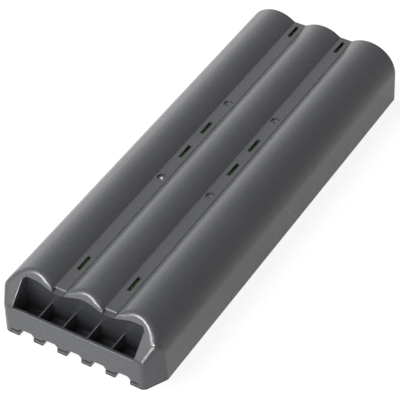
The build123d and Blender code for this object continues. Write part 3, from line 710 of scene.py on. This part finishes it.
class Nodes:
    """A small helper to write the shader network of a material or of the surroundings."""

    def __init__(self, owner):
        owner.use_nodes = True
        self.tree = owner.node_tree
        self.tree.nodes.clear()

    def new(self, kind, *values, **settings):
        """A node with its own settings, whose first inputs get the values in order."""
        node = self.tree.nodes.new(kind)
        for key, setting in settings.items():
            setattr(node, key, setting)
        for socket, value in zip(node.inputs, values):
            self.set(socket, value)
        return node

    def set(self, socket, value):
        """Links an output to the socket, or gives the socket a plain value."""
        if isinstance(value, bpy.types.NodeSocket):
            self.tree.links.new(value, socket)
        else:
            socket.default_value = value

    def place(self):
        """The place on the piece, in metres."""
        return self.new("ShaderNodeTexCoord").outputs["Object"]

    def calc(self, operation, first, second):
        return self.new("ShaderNodeMath", first, second, operation=operation).outputs[0]

    def dot(self, first, second):
        node = self.new("ShaderNodeVectorMath", first, second, operation="DOT_PRODUCT")
        return node.outputs["Value"]

    def noise(self, scale, detail=3.0, roughness=0.5):
        node = self.new("ShaderNodeTexNoise", self.place())
        node.inputs["Scale"].default_value = scale
        node.inputs["Detail"].default_value = detail
        node.inputs["Roughness"].default_value = roughness
        return node.outputs["Fac"]

    def ramp(self, factor, low, high, start=0.3, end=0.7, easing="LINEAR"):
        """Goes from low to high while the factor goes from start to end."""
        node = self.new("ShaderNodeMapRange", interpolation_type=easing)
        self.set(node.inputs["Value"], factor)
        self.set(node.inputs["From Min"], start)
        self.set(node.inputs["From Max"], end)
        self.set(node.inputs["To Min"], low)
        self.set(node.inputs["To Max"], high)
        return node.outputs["Result"]

    def within(self, axis, low, high, fade_low, fade_high):
        """1 where the place on an axis, in millimetres, is from low to high, with soft ends."""
        value = self.new("ShaderNodeSeparateXYZ", self.place()).outputs[axis]
        above = self.ramp(value, 0.0, 1.0, (low - fade_low) * MM, low * MM)
        below = self.ramp(value, 1.0, 0.0, high * MM, (high + fade_high) * MM)
        return self.together(above, below)

    def together(self, *masks):
        """1 where all masks are 1."""
        product = masks[0]
        for mask in masks[1:]:
            product = self.calc("MULTIPLY", product, mask)
        return product

    def mix_value(self, factor, first, second):
        node = self.new("ShaderNodeMix", factor)
        self.set(node.inputs[2], first)
        self.set(node.inputs[3], second)
        return node.outputs[0]

    def mix_colour(self, factor, first, second):
        node = self.new("ShaderNodeMix", factor, data_type="RGBA")
        self.set(node.inputs[6], first)
        self.set(node.inputs[7], second)
        return node.outputs[2]

    def bump(self, height, strength, distance, normal=None):
        node = self.new("ShaderNodeBump")
        node.inputs["Strength"].default_value = strength
        node.inputs["Distance"].default_value = distance
        self.set(node.inputs["Height"], height)
        if normal is not None:
            self.set(node.inputs["Normal"], normal)
        return node.outputs["Normal"]

    def surface(self, colour, roughness, normal, specular=0.5, metallic=0.0):
        shader = self.new("ShaderNodeBsdfPrincipled")
        self.set(shader.inputs["Base Color"], colour)
        self.set(shader.inputs["Roughness"], roughness)
        self.set(shader.inputs["Normal"], normal)
        self.set(shader.inputs["Specular IOR Level"], specular)
        self.set(shader.inputs["Metallic"], metallic)
        self.new("ShaderNodeOutputMaterial", shader.outputs["BSDF"])


def rgba(red, green, blue):
    return (red, green, blue, 1.0)


# Moulded plastic: light and dark colour, lowest and highest roughness. Its colour is cloudy, its
# polish uneven, and its relief a fine grain over faint waves. Scales are in waves for each metre,
# and relief heights in metres.
CLOUD_SCALE = 60.0
POLISH_SCALE = 350.0
GRAIN_SCALE = 4200.0
GRAIN_STRENGTH = 0.05
GRAIN_HEIGHT = 0.00005
WAVE_SCALE = 140.0
WAVE_STRENGTH = 0.012
WAVE_HEIGHT = 0.0002
GLOSS = 0.5
SHELL_PLASTIC = ((0.109, 0.113, 0.122), (0.097, 0.101, 0.110), 0.255, 0.29)
COVER_PLASTIC = ((0.106, 0.110, 0.117), (0.096, 0.100, 0.107), 0.26, 0.32)

# Painted shade in the lower part of the finger pocket's bays: a near-black colour stands in for the
# shade there, and the bays are also rougher and less glossy
BAY_MARGIN = 0.5
BAY_FADE = 4.0
BAY_SHADE_COLOUR = (0.035, 0.038, 0.044)
BAY_ROUGHNESS = 0.6
BAY_GLOSS = 0.16

# Painted shade: a dark line round the foot stands in for the contact shadow there. Painted highlight:
# a white spot on the front of the gate mark's top stands in for its glint.
FOOT_LOW = 0.06
FOOT_HIGH = 0.5
FOOT_SHADE_COLOUR = (0.012, 0.012, 0.013)
GATE_SPOT = 0.5
GATE_FADE = 0.14
GATE_GLINT_COLOUR = (0.92, 0.92, 0.92)

# Noise detail and roughness, and how the looks of the pieces inside follow from their grain
DETAIL_HIGH = 4.0
DETAIL_LOW = 2.0
NOISE_ROUGH = 0.6
CLOUD_SHARE = 0.3
GLOSS_SHARE = 0.6
GLOSS_SWING = 0.06
RELIEF = 0.3
FINE = 0.00002
COARSE = 0.0001

# Pieces inside, whose solids stay as they are: light and dark colour, roughness, grain,
# height of the relief, and 1 for metal
INNER_LOOKS = {
    "green_sleeve": ((0.74, 0.94, 0.50), (0.66, 0.86, 0.44), 0.32, 500.0, FINE),
    "cell_steel": ((0.64, 0.64, 0.62), (0.55, 0.55, 0.54), 0.28, 900.0, FINE, 1.0),
    "nickel_strip": ((0.74, 0.71, 0.66), (0.66, 0.63, 0.58), 0.30, 1200.0, FINE, 1.0),
    "contact_metal": ((0.78, 0.75, 0.69), (0.70, 0.67, 0.61), 0.26, 1500.0, FINE, 1.0),
    "insulating_paper": ((0.72, 0.69, 0.60), (0.62, 0.59, 0.50), 0.85, 1400.0, COARSE),
    "board_laminate": ((0.03, 0.14, 0.05), (0.02, 0.10, 0.04), 0.42, 1800.0, FINE),
    "component_black": ((0.030, 0.030, 0.032), (0.020, 0.020, 0.022), 0.48, 2500.0, FINE),
    "fuse_yellow": ((0.78, 0.52, 0.07), (0.68, 0.44, 0.05), 0.45, 1600.0, FINE),
    "lead_red": ((0.50, 0.03, 0.02), (0.42, 0.02, 0.02), 0.38, 900.0, FINE),
    "lead_black": ((0.025, 0.025, 0.027), (0.018, 0.018, 0.020), 0.38, 900.0, FINE),
    "lead_white": ((0.78, 0.77, 0.73), (0.70, 0.69, 0.65), 0.40, 900.0, FINE),
    "foam": ((0.060, 0.060, 0.065), (0.030, 0.030, 0.034), 0.94, 1100.0, COARSE),
}


def bay_shade_mask(nodes):
    """1 in the lower part of the pocket's bays, where shade is painted, fading out upwards."""
    fade = BAY_MARGIN / 2
    middle = (FRONT_WALL + POCKET_BACK_Y - LENGTH) / 2
    reach = (POCKET_BACK_Y - FRONT_WALL) / 2 + BAY_MARGIN
    return nodes.together(
        nodes.within("Z", POCKET_FLOOR_Z - BAY_MARGIN, RIB_TOP_Z - BAY_FADE, fade, BAY_FADE),
        nodes.within("Y", middle - reach, middle + reach, fade, fade),
        nodes.within("X", -POCKET_HALF, POCKET_HALF, fade, fade),
    )


def gate_glint_mask(nodes):
    """1 on a spot of the gate mark, towards its front, where a glint is painted."""
    y = GATE_Y - LENGTH / 2
    return nodes.together(
        nodes.within("Y", y - GATE_SPOT, y + GATE_SPOT / 3, GATE_FADE, GATE_FADE),
        nodes.within("X", GATE_X - GATE_SPOT / 2, GATE_X + GATE_SPOT, GATE_FADE, GATE_FADE),
        nodes.within("Z", FLOOR_Z - DIMPLE_DEPTH, TOP_Z, GATE_FADE, GATE_FADE),
    )


def moulded_plastic(name, light, dark, rough_low, rough_high):
    """Dark moulded plastic, with painted shade low in the pocket's bays and round the foot, and a
    painted white glint on the gate mark.
    """
    material = bpy.data.materials.new(name)
    nodes = Nodes(material)
    bay_shade = bay_shade_mask(nodes)
    foot = nodes.within("Z", FOOT_LOW, FOOT_HIGH, FOOT_LOW / 2, FOOT_LOW)
    cloud = nodes.ramp(nodes.noise(CLOUD_SCALE, DETAIL_HIGH), 0.0, 1.0)
    colour = nodes.mix_colour(cloud, rgba(*dark), rgba(*light))
    # Painted shade: the lower bays turn near-black in place of their shade
    colour = nodes.mix_colour(bay_shade, colour, rgba(*BAY_SHADE_COLOUR))
    # Painted shade: a dark line round the foot in place of the contact shadow
    colour = nodes.mix_colour(foot, colour, rgba(*FOOT_SHADE_COLOUR))
    # Painted highlight: a white spot on the gate mark in place of its glint
    colour = nodes.mix_colour(gate_glint_mask(nodes), colour, rgba(*GATE_GLINT_COLOUR))
    polish = nodes.noise(POLISH_SCALE, DETAIL_HIGH, NOISE_ROUGH)
    rough = nodes.ramp(bay_shade, nodes.ramp(polish, rough_low, rough_high), BAY_ROUGHNESS, 0.0, 1.0)
    gloss = nodes.ramp(bay_shade, GLOSS, BAY_GLOSS, 0.0, 1.0)
    grain = nodes.bump(nodes.noise(GRAIN_SCALE, DETAIL_LOW), GRAIN_STRENGTH, GRAIN_HEIGHT)
    relief = nodes.bump(nodes.noise(WAVE_SCALE, DETAIL_LOW), WAVE_STRENGTH, WAVE_HEIGHT, grain)
    nodes.surface(colour, rough, relief, specular=gloss)
    return material


def plain_look(name, light, dark, rough, grain, height, metallic=0.0):
    """A material with uneven colour and gloss and a fine relief of the given grain and height."""
    material = bpy.data.materials.new(name)
    nodes = Nodes(material)
    cloud = nodes.ramp(nodes.noise(grain * CLOUD_SHARE, DETAIL_HIGH), 0.0, 1.0)
    colour = nodes.mix_colour(cloud, rgba(*dark), rgba(*light))
    polish = nodes.noise(grain * GLOSS_SHARE, roughness=NOISE_ROUGH)
    gloss = nodes.ramp(polish, rough - GLOSS_SWING, rough + GLOSS_SWING)
    nodes.surface(colour, gloss, nodes.bump(nodes.noise(grain), RELIEF, height), metallic=metallic)
    return material


shell = into_frame(make_shell(), "moulded_top_shell")
cover = into_frame(make_cover(), "moulded_bottom_cover")
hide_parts("top_shell")
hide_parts("bottom_cover")
for piece in (shell, cover):
    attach(piece, "root")
for piece, name, plastic in ((shell, "shell", SHELL_PLASTIC), (cover, "cover", COVER_PLASTIC)):
    piece.data.materials.clear()
    piece.data.materials.append(moulded_plastic(name + "_plastic_look", *plastic))

inner_materials = {slot: plain_look(slot + "_look", *look) for slot, look in INNER_LOOKS.items()}
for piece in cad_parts.values():
    for place in piece.material_slots:
        if place.material and place.material.name in inner_materials:
            place.material = inner_materials[place.material.name]

# Camera: the side and height that it looks from, its tilt, and the point that it looks at
AZIMUTH = math.radians(31.296)
ELEVATION = math.radians(42.488)
ROLL = math.radians(-0.936)
DISTANCE = 0.6067
AIM = Vector((-0.00334, 0.00081, 0.0))
LENS = 171.3
SENSOR = 36.0
CLIP_START = 0.01
CLIP_END = 20.0


def make_camera():
    """The scene's camera."""
    right = Vector((math.cos(AZIMUTH), math.sin(AZIMUTH), 0.0))
    forward = Vector((
        -math.sin(AZIMUTH) * math.cos(ELEVATION),
        math.cos(AZIMUTH) * math.cos(ELEVATION),
        -math.sin(ELEVATION),
    ))
    upward = right.cross(forward)
    rolled_right = right * math.cos(ROLL) + upward * math.sin(ROLL)
    rolled_up = upward * math.cos(ROLL) - right * math.sin(ROLL)
    data = bpy.data.cameras.new("camera")
    data.lens = LENS
    data.sensor_width = SENSOR
    data.clip_start = CLIP_START
    data.clip_end = CLIP_END
    camera = bpy.data.objects.new("camera", data)
    axes = Matrix((rolled_right, rolled_up, -forward)).transposed()
    camera.matrix_world = Matrix.Translation(AIM - forward * DISTANCE) @ axes.to_4x4()
    bpy.context.scene.collection.objects.link(camera)
    bpy.context.scene.camera = camera


make_camera()

# Lamps, all at one distance from the pack. The last four only shine in its polished rims.
LAMP_DISTANCE = 1.2


def lamp(name, direction, size, power, glossy=True, diffuse=True):
    """A soft lamp of the given width and height that faces the pack."""
    data = bpy.data.lights.new(name, "AREA")
    data.shape = "RECTANGLE"
    data.size, data.size_y = size
    data.energy = power
    obj = bpy.data.objects.new(name, data)
    outward = Vector(direction).normalized()
    obj.location = outward * LAMP_DISTANCE
    obj.rotation_euler = outward.to_track_quat("Z", "Y").to_euler()
    obj.visible_glossy = glossy
    obj.visible_diffuse = diffuse
    bpy.context.scene.collection.objects.link(obj)


lamp("left_low_box", (-0.85, 0.1, 0.5), (0.5, 0.5), 5.4, glossy=False)
lamp("left_high_box", (-0.45, -0.3, 0.85), (0.5, 0.5), 3.3, glossy=False)
lamp("front_box", (-0.38, -0.7, 0.6), (1.3, 1.3), 7.1)
lamp("rim_strip", (-0.19, -0.6, 0.76), (0.66, 0.1), 14.5, diffuse=False)
lamp("rim_box", (0.3, -0.67, 0.67), (0.2, 0.2), 4.0, diffuse=False)
lamp("edge_box", (0.33, -0.8, 0.5), (0.28, 0.28), 19.0, diffuse=False)
lamp("corner_box", (0.4, -0.9, 0.1), (0.2, 0.2), 4.0, diffuse=False)

# Floor: even and pale for the camera. The light that it gives to the pack falls from
# FLOOR_BRIGHT to FLOOR_DIM along FLOOR_AXIS, and its paint takes the pack's shadow.
FLOOR_HALF = 4.0
FLOOR_BRIGHT = 0.94
FLOOR_DIM = 0.6
FLOOR_SEEN = 0.86
FLOOR_AXIS = (0.9, 0.45, 0.0)
FLOOR_FADE_START = -0.03
FLOOR_FADE_END = 0.02
FLOOR_PAINT = (0.4, 0.4, 0.4)


def floor_look():
    """The material of the floor."""
    material = bpy.data.materials.new("floor_look")
    nodes = Nodes(material)
    along = nodes.dot(nodes.place(), FLOOR_AXIS)
    fade = nodes.ramp(along, FLOOR_BRIGHT, FLOOR_DIM, FLOOR_FADE_START, FLOOR_FADE_END)
    by_camera = nodes.new("ShaderNodeLightPath").outputs["Is Camera Ray"]
    glow = nodes.new("ShaderNodeEmission")
    nodes.set(glow.inputs["Strength"], nodes.mix_value(by_camera, fade, FLOOR_SEEN))
    paint = nodes.new("ShaderNodeBsdfDiffuse", rgba(*FLOOR_PAINT))
    glow_and_paint = nodes.new("ShaderNodeAddShader", glow.outputs[0], paint.outputs[0])
    nodes.new("ShaderNodeOutputMaterial", glow_and_paint.outputs[0])
    return material


def make_floor():
    """A flat square under the pack."""
    bm = bmesh.new()
    bmesh.ops.create_grid(bm, x_segments=1, y_segments=1, size=FLOOR_HALF)
    mesh = bpy.data.meshes.new("floor")
    bm.to_mesh(mesh)
    bm.free()
    mesh.materials.append(floor_look())
    floor = bpy.data.objects.new("floor", mesh)
    bpy.context.scene.collection.objects.link(floor)
    return floor


floor = make_floor()

# Surroundings: white for the camera, almost dark for plain light, and in reflections an even
# level with two brighter patches. A patch has a direction, the angles from it in degrees where
# it starts and where it is full, and its strength.
SKY_LEVEL = 0.74
AMBIENT = 0.03
WIDE_GLOW = ((-0.76, 0.63, 0.14), 48.0, 12.0, 0.79)
NARROW_GLOW = ((-0.76, 0.63, 0.05), 26.0, 6.0, 0.48)


def glow_patch(nodes, direction, start, full, strength):
    """The brightness of a round patch of the surroundings."""
    view = nodes.new("ShaderNodeTexCoord").outputs["Generated"]
    along = nodes.dot(view, Vector(direction).normalized())
    start, full = math.cos(math.radians(start)), math.cos(math.radians(full))
    return nodes.ramp(along, 0.0, strength, start, full, "SMOOTHSTEP")


def make_world():
    """The surroundings, seen directly and in reflections."""
    world = bpy.data.worlds.new("studio")
    bpy.context.scene.world = world
    world.cycles.sampling_method = "NONE"
    nodes = Nodes(world)
    path = nodes.new("ShaderNodeLightPath").outputs
    patches = nodes.calc("ADD", glow_patch(nodes, *WIDE_GLOW), glow_patch(nodes, *NARROW_GLOW))
    reflected = nodes.calc("ADD", patches, SKY_LEVEL)
    by_gloss = nodes.calc("MAXIMUM", path["Is Glossy Ray"], path["Is Transmission Ray"])
    level = nodes.mix_value(by_gloss, AMBIENT, reflected)
    level = nodes.calc("MAXIMUM", level, path["Is Camera Ray"])
    background = nodes.new("ShaderNodeBackground", rgba(1.0, 1.0, 1.0), level)
    nodes.new("ShaderNodeOutputWorld", background.outputs[0])


make_world()
bpy.context.scene.view_settings.view_transform = "Standard"
